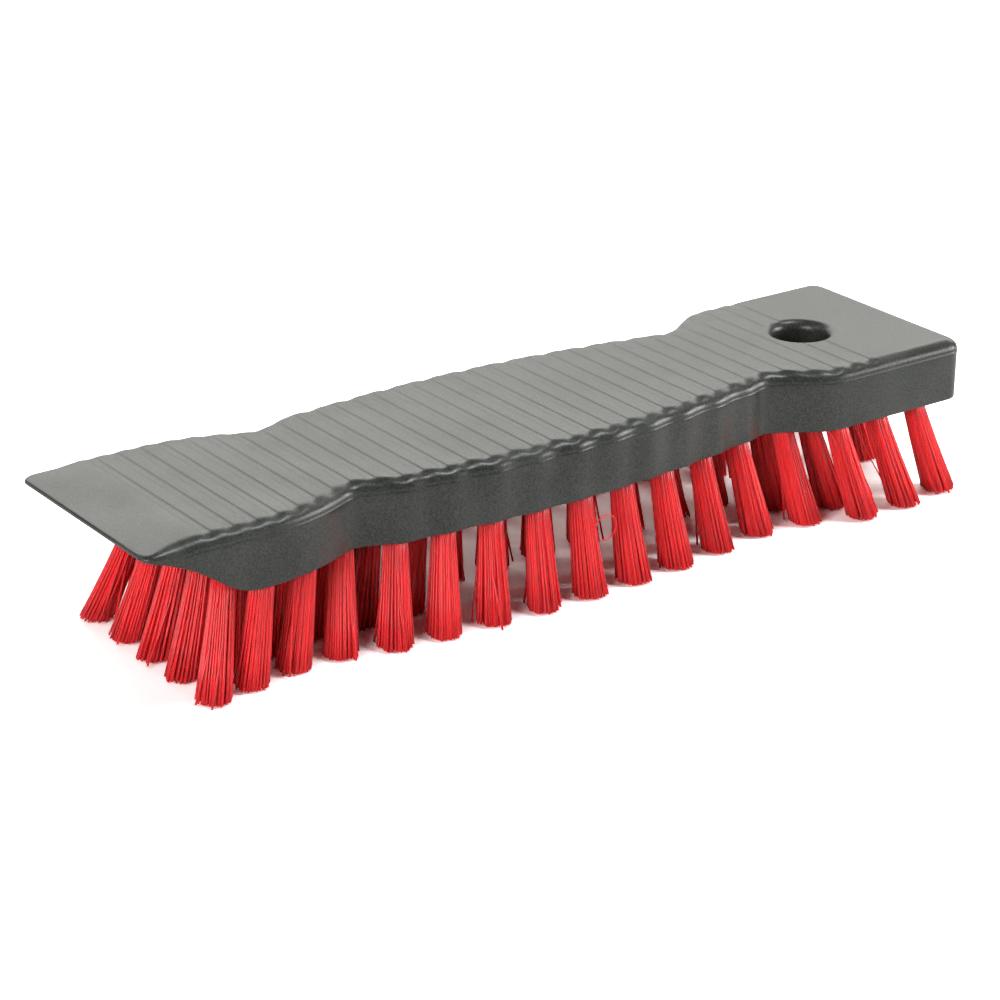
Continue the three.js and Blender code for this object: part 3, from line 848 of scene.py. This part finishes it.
# %% Rods on every tuft
GOLDEN_ANGLE, FULL_TURN = 2.399963, 6.283
ROD_SIDES, ROD_STEPS = 5, 4
TURN_DRAW, FIRST_DRAW = 1, 11


def store(tree, geometry, name, kind, value):
    """Keeps a value on every point under a name."""
    inputs = {"Geometry": geometry, "Name": name, "Value": value}
    node = add_node(tree, "GeometryNodeStoreNamedAttribute", inputs, data_type=kind, domain="POINT")
    return node.outputs[0]


def chance(tree, seed, low, high, extra):
    """A random number for every point, from a draw of its own."""
    inputs = {2: low, 3: high, "Seed": math_node(tree, "ADD", seed, extra)}
    return add_node(tree, "FunctionNodeRandomValue", inputs, data_type="FLOAT").outputs[1]


def planted_rods(tree, given):
    """A straight rod on every point of a disc, on every tuft."""
    # A disc of points, evenly filled by the golden angle
    count, seed = given["Filaments"], given["Seed"]
    disc = add_node(tree, "GeometryNodePoints", {"Count": count}).outputs[0]
    number = add_node(tree, "GeometryNodeInputIndex").outputs[0]
    filled = math_node(tree, "DIVIDE", math_node(tree, "ADD", number, 0.5), count)
    disc = store(tree, disc, "share", "FLOAT", math_node(tree, "SQRT", filled))
    disc = store(tree, disc, "angle", "FLOAT", math_node(tree, "MULTIPLY", number, GOLDEN_ANGLE))
    # The disc on every tuft, shrunk to its root
    roots = add_node(tree, "GeometryNodeMeshToPoints", {0: given["Geometry"]}).outputs[0]
    roots = store(tree, roots, "turn", "FLOAT", chance(tree, seed, 0.0, FULL_TURN, TURN_DRAW))
    spots = add_node(tree, "GeometryNodeInstanceOnPoints", {
        "Points": roots, "Instance": disc, "Scale": (0.0, 0.0, 0.0)}).outputs[0]
    spots = add_node(tree, "GeometryNodeRealizeInstances", {0: spots}).outputs[0]
    chances = (("tint", 0), ("bend", -1), ("sway", -1), ("luck", 0), ("cut", 0))
    for extra, (label, low) in enumerate(chances):
        spots = store(tree, spots, label, "FLOAT", chance(tree, seed, low, 1, FIRST_DRAW + extra))
    # A thin rod on every point, whose own height runs from the root to the tip
    rod = add_node(tree, "GeometryNodeMeshCylinder", {
        "Vertices": ROD_SIDES, "Side Segments": ROD_STEPS, "Radius": 1.0, "Depth": 1.0}).outputs[0]
    own_place = add_node(tree, "GeometryNodeInputPosition").outputs[0]
    rod = store(tree, rod, "rod", "FLOAT_VECTOR", own_place)
    rods = add_node(tree, "GeometryNodeInstanceOnPoints", {
        "Points": spots, "Instance": rod, "Scale": (0.0, 0.0, 0.0)}).outputs[0]
    return add_node(tree, "GeometryNodeRealizeInstances", {0: rods}).outputs[0]


print("each rod:", ROD_SIDES, "sides,", ROD_STEPS, "steps")

# %% [markdown]
# ## Bending the rods
# A filament springs out of its hole, leans with its tuft and ends where the
# trimming blade passed. A simulation could find such shapes, but a few powers of
# the way down the rod draw the same curves and never change from run to run.

# %% Filament tree
FLARE_POWER, STRAY_POWER, LEAN_POWER = 1.2, 1.6, 1.1
SWAY_SHARE, RAGGED_SHARE = 0.9, 0.5


def bent_places(tree, given):
    """Where each point of each rod belongs."""
    def calc(operation, *values):
        return math_node(tree, operation, *values)

    def value(name):
        return named(tree, name, "FLOAT")

    def parts(vector):
        return add_node(tree, "ShaderNodeSeparateXYZ", {0: vector}).outputs

    local = parts(named(tree, "rod", "FLOAT_VECTOR"))
    lean = parts(named(tree, "lean", "FLOAT_VECTOR"))
    root = parts(add_node(tree, "GeometryNodeInputPosition").outputs[0])
    down = calc("SUBTRACT", 0.5, local[2])
    # Flare: the bundle widens towards its tips
    flare = calc("POWER", down, FLARE_POWER)
    loose = calc("MULTIPLY_ADD", value("bend"), given["Disorder"], 1.0)
    widening = calc("SUBTRACT", calc("MULTIPLY", given["Tip Radius"], loose), given["Root Radius"])
    ring = calc("MULTIPLY_ADD", widening, flare, given["Root Radius"])
    ring = calc("MULTIPLY", ring, value("share"))
    # Sway: a little for all, and a long reach for the few strays
    thin = given["Filament Radius"]
    is_stray = calc("LESS_THAN", value("luck"), given["Stray Share"])
    reach = calc("MULTIPLY", is_stray, given["Stray Reach"])
    reach = calc("MULTIPLY", reach, calc("POWER", down, STRAY_POWER))
    sway = calc("MULTIPLY_ADD", calc("MULTIPLY", flare, SWAY_SHARE), thin, reach)
    across = calc("MULTIPLY", sway, value("sway"))
    way = calc("ADD", value("angle"), value("turn"))
    cos_w, sin_w = calc("COSINE", way), calc("SINE", way)
    out_x = calc("SUBTRACT", calc("MULTIPLY", ring, cos_w), calc("MULTIPLY", across, sin_w))
    out_y = calc("ADD", calc("MULTIPLY", ring, sin_w), calc("MULTIPLY", across, cos_w))
    # Lean: the whole bundle is carried to the place of its tip
    carried = calc("POWER", down, LEAN_POWER)
    centre_x = calc("MULTIPLY_ADD", lean[0], carried, root[0])
    centre_y = calc("MULTIPLY_ADD", lean[1], carried, root[1])
    x = calc("ADD", centre_x, calc("MULTIPLY_ADD", local[0], thin, out_x))
    y = calc("ADD", centre_y, calc("MULTIPLY_ADD", local[1], thin, out_y))
    limit = given["Side Limit"]
    y = calc("MINIMUM", calc("MAXIMUM", y, calc("MULTIPLY", limit, -1.0)), limit)
    # Trim: the outer filaments end a little higher, and none quite alike
    outer = calc("MULTIPLY", value("share"), value("share"))
    ragged = calc("MULTIPLY_ADD", value("cut"), RAGGED_SHARE, outer)
    fall = calc("SUBTRACT", calc("MULTIPLY", ragged, given["Tip Rise"]), root[2])
    z = calc("MULTIPLY_ADD", fall, down, root[2])
    return add_node(tree, "ShaderNodeCombineXYZ", {0: x, 1: y, 2: z}).outputs[0]


def filament_tree():
    numbers = ("Root Radius", "Tip Radius", "Filament Radius", "Disorder", "Stray Share",
               "Stray Reach", "Tip Rise", "Side Limit")
    sockets = [("Filaments", "NodeSocketInt"), ("Seed", "NodeSocketInt")]
    sockets += [(label, "NodeSocketFloat") for label in numbers]
    tree, given, result = new_shape_tree("flared_tufts", sockets + [("Material", "NodeSocketMaterial")])
    bent = add_node(tree, "GeometryNodeSetPosition", {
        "Geometry": planted_rods(tree, given), "Position": bent_places(tree, given)}).outputs[0]
    soft = add_node(tree, "GeometryNodeSetShadeSmooth", {"Geometry": bent}).outputs[0]
    joined = add_node(tree, "GeometryNodeRealizeInstances", {0: soft}).outputs[0]
    shown = add_node(tree, "GeometryNodeSetMaterial", {
        "Geometry": joined, "Material": given["Material"]}).outputs[0]
    tree.links.new(shown, result)
    return tree


tuft_shape = filament_tree()
print("tree:", tuft_shape.name)

# %% [markdown]
# ## The four rows
# A machine fills the block row by row, and the solids keep the tufts as two side
# rows, a middle and the one at the tail. Each row is a handful of points with a
# lean, and the tree turns it into filaments. A seed for each row keeps the
# chances the same in every run.

# %% Make the tuft rows
ROOT_DEPTH, FIRST_SEED, SEED_STEP = 4.0, 40, 7
tuft_values = {
    "Filaments": 130, "Root Radius": 2.75 * MM, "Tip Radius": 4.5 * MM, "Filament Radius": 0.33 * MM,
    "Disorder": 0.09, "Stray Share": 0.045, "Stray Reach": 4.5 * MM, "Tip Rise": 0.6 * MM,
    "Side Limit": cad_high[1], "Material": filament}


def tuft_row(name, places, seed):
    mesh = bpy.data.meshes.new(f"bristles_{name}")
    roots = [(x * MM, y * MM, (UNDER_Z + ROOT_DEPTH) * MM) for x, y, _, _ in places]
    mesh.from_pydata(roots, [], [])
    lean = mesh.attributes.new("lean", "FLOAT_VECTOR", "POINT")
    lean.data.foreach_set("vector", [v * MM for _, _, a, b in places for v in (a, b, 0.0)])
    row = put(f"bristles_{name}", mesh)
    run_tree(row, tuft_shape, {**tuft_values, "Seed": seed})
    row.data.materials.clear()
    row.data.materials.append(filament)
    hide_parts(f"tufts_{name}")
    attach(row, "root")
    return row


for number, (name, places) in enumerate(tuft_rows.items()):
    row = tuft_row(name, places, FIRST_SEED + SEED_STEP * number)
    print(row.name, "faces:", len(row.data.polygons))

# %% [markdown]
# ## Loose filaments
# Three filaments have sprung out of the near row: one curls round in the middle
# of the grip, one hangs straight beside the tail, and one is bent near its tip.
# They could be bent out of their tufts, but each is only a thin round wire along
# a short path, and a bevelled curve draws that.

# %% Draw the loose filaments
LOOSE_RADIUS = 0.2
CURL_ROOT, CURL_CENTRE, CURL_RADIUS = (0.5, -28.0, 28.0), (5.4, -31.5, 17.7), 3.5
CURL_TURN = range(170, -130, -15)
HANGING = [(96.0, -22.5, 28.0), (102.0, -28.0, 12.0), (107.5, -32.0, 0.4)]
BENT = [(84.0, -28.5, 27.0), (90.5, -31.5, 15.0), (96.0, -32.4, 10.6), (97.8, -33.0, 5.5)]


def curl_path():
    turn = [math.radians(angle) for angle in CURL_TURN]
    x, y, z = CURL_CENTRE
    ring = [(x + CURL_RADIUS * math.cos(a), y, z + CURL_RADIUS * math.sin(a)) for a in turn]
    return [CURL_ROOT, *ring]


def loose_filaments(paths):
    curve = bpy.data.curves.new("loose_filaments", "CURVE")
    curve.dimensions = "3D"
    curve.bevel_depth = LOOSE_RADIUS * MM
    curve.bevel_resolution = 1
    curve.use_fill_caps = True
    for path in paths:
        line = curve.splines.new("NURBS")
        line.points.add(len(path) - 1)
        line.use_endpoint_u = True
        line.order_u = 3
        line.resolution_u = 4
        for point, place in zip(line.points, path):
            point.co = (*(value * MM for value in place), 1.0)
    drawn = put("drawn", curve)
    graph = bpy.context.evaluated_depsgraph_get()
    mesh = bpy.data.meshes.new_from_object(drawn.evaluated_get(graph))
    bpy.data.objects.remove(drawn)
    tint = mesh.attributes.new("tint", "FLOAT", "POINT")
    tint.data.foreach_set("value", [1.0] * len(mesh.vertices))
    mesh.materials.clear()
    mesh.materials.append(filament)
    piece = put("loose_filaments", mesh)
    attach(piece, "root")
    return piece


print("loose filament faces:", len(loose_filaments([curl_path(), HANGING, BENT]).data.polygons))

# %% [markdown]
# ## Anchor wires
# Inside each tuft hole a short flat wire holds the folded filaments. They could
# all be made again, but the solids are already right, so they stay and only take
# a steel finish. The wires of the inner pairs behind the scraper have no solid
# of their own, so they are made here.

# %% Finish the anchors
ANCHOR_SIZE, ANCHOR_Z = (0.6, 7.4, 2.0), 37.8
anchors = [node for name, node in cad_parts.items() if name.startswith("anchor_")]
for anchor in anchors:
    anchor.data.materials.clear()
    anchor.data.materials.append(steel)


def pair_anchors():
    work = bmesh.new()
    shape = Matrix.Diagonal((*(size * MM for size in ANCHOR_SIZE), 1.0))
    for x, y, _, _ in inner_pairs():
        place = Matrix.Translation(Vector((x, y, ANCHOR_Z)) * MM)
        bmesh.ops.create_cube(work, size=1.0, matrix=place @ shape)
    mesh = made_mesh("pair_anchors", work)
    mesh.materials.append(steel)
    wires = put("pair_anchors", mesh)
    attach(wires, "root")
    return wires


print("anchor wires:", len(anchors), "solids,", len(pair_anchors().data.polygons) // 6, "made here")

# %% [markdown]
# ## Floor and light
# The brush was photographed on white paper. A plain white floor would take the
# shade of the room, so the paper is a little whiter for the camera than it is
# for the light that it throws back. The room itself is almost dark and only
# looks white, so the shape comes from the lamps.

# %% Floor and world
PAPER, PAPER_SEEN, ROOM_LIGHT = 0.86, 2.1, 0.03
FLOOR_HALF = 4.0


def add_floor():
    mesh = bpy.data.meshes.new("paper_floor")
    s = FLOOR_HALF
    mesh.from_pydata([(-s, -s, 0), (s, -s, 0), (s, s, 0), (-s, s, 0)], [], [(0, 1, 2, 3)])
    floor = put("paper_floor", mesh)
    material = bpy.data.materials.new("white_paper")
    material.use_nodes = True
    tree = material.node_tree
    tree.nodes.remove(tree.nodes["Principled BSDF"])
    path = tree.nodes.new("ShaderNodeLightPath").outputs
    level = add_node(tree, "ShaderNodeMapRange", {
        "Value": path["Is Camera Ray"], "To Min": PAPER, "To Max": PAPER_SEEN}).outputs[0]
    tone = add_node(tree, "ShaderNodeCombineColor", {0: level, 1: level, 2: level}).outputs[0]
    paper = add_node(tree, "ShaderNodeBsdfDiffuse", {"Color": tone}).outputs[0]
    tree.links.new(paper, tree.nodes["Material Output"].inputs[0])
    mesh.materials.append(material)
    return floor


def add_world():
    world = bpy.data.worlds.new("white_room")
    world.use_nodes = True
    tree = world.node_tree
    back = tree.nodes["Background"]
    path = tree.nodes.new("ShaderNodeLightPath").outputs
    seen = math_node(tree, "MAXIMUM", path["Is Camera Ray"], path["Is Transmission Ray"])
    level = add_node(tree, "ShaderNodeMapRange", {
        "Value": seen, "To Min": ROOM_LIGHT, "To Max": 1.0}).outputs[0]
    tree.links.new(level, back.inputs["Strength"])
    back.inputs["Color"].default_value = (1, 1, 1, 1)
    bpy.context.scene.world = world


add_floor()
add_world()
print("floor and world ready")

# %% [markdown]
# ## Lamps
# A satin surface shows its lamps. Two wide boxes behind the brush make its top
# pale, because the plastic mirrors them at a low angle. A small box above draws
# the line along the rounded edge. Two boxes on the left light the scraper end
# and the tufts, and a low one on the right lights the tail.

# %% Lamps
BRUSH_MIDDLE = Vector((0.0, 0.0, 0.03))


def add_lamp(name, place, size, power, colour=(1, 1, 1)):
    data = bpy.data.lights.new(name, "AREA")
    data.shape = "RECTANGLE"
    data.size, data.size_y = size
    data.energy = power
    data.color = colour
    lamp = put(name, data)
    lamp.visible_camera = False
    lamp.location = place
    lamp.rotation_euler = (BRUSH_MIDDLE - Vector(place)).to_track_quat("-Z", "Y").to_euler()


add_lamp("back_box", (0.67, 1.02, 0.74), (2.35, 0.44), 13.0, (1.0, 1.0, 0.95))
add_lamp("sweep_box", (0.80, 1.13, 0.23), (2.35, 0.30), 4.0, (1.0, 1.0, 0.95))
add_lamp("edge_box", (0.45, -0.20, 1.10), (0.25, 0.25), 5.0, (0.95, 0.98, 1.0))
add_lamp("left_box", (-1.0, -0.42, 0.42), (0.7, 0.6), 9.0)
add_lamp("left_back", (-1.0, 0.55, 0.85), (0.7, 0.7), 2.6)
add_lamp("right_box", (0.76, -0.42, 0.24), (0.4, 0.3), 5.0)
bpy.context.scene.view_settings.view_transform = "Standard"
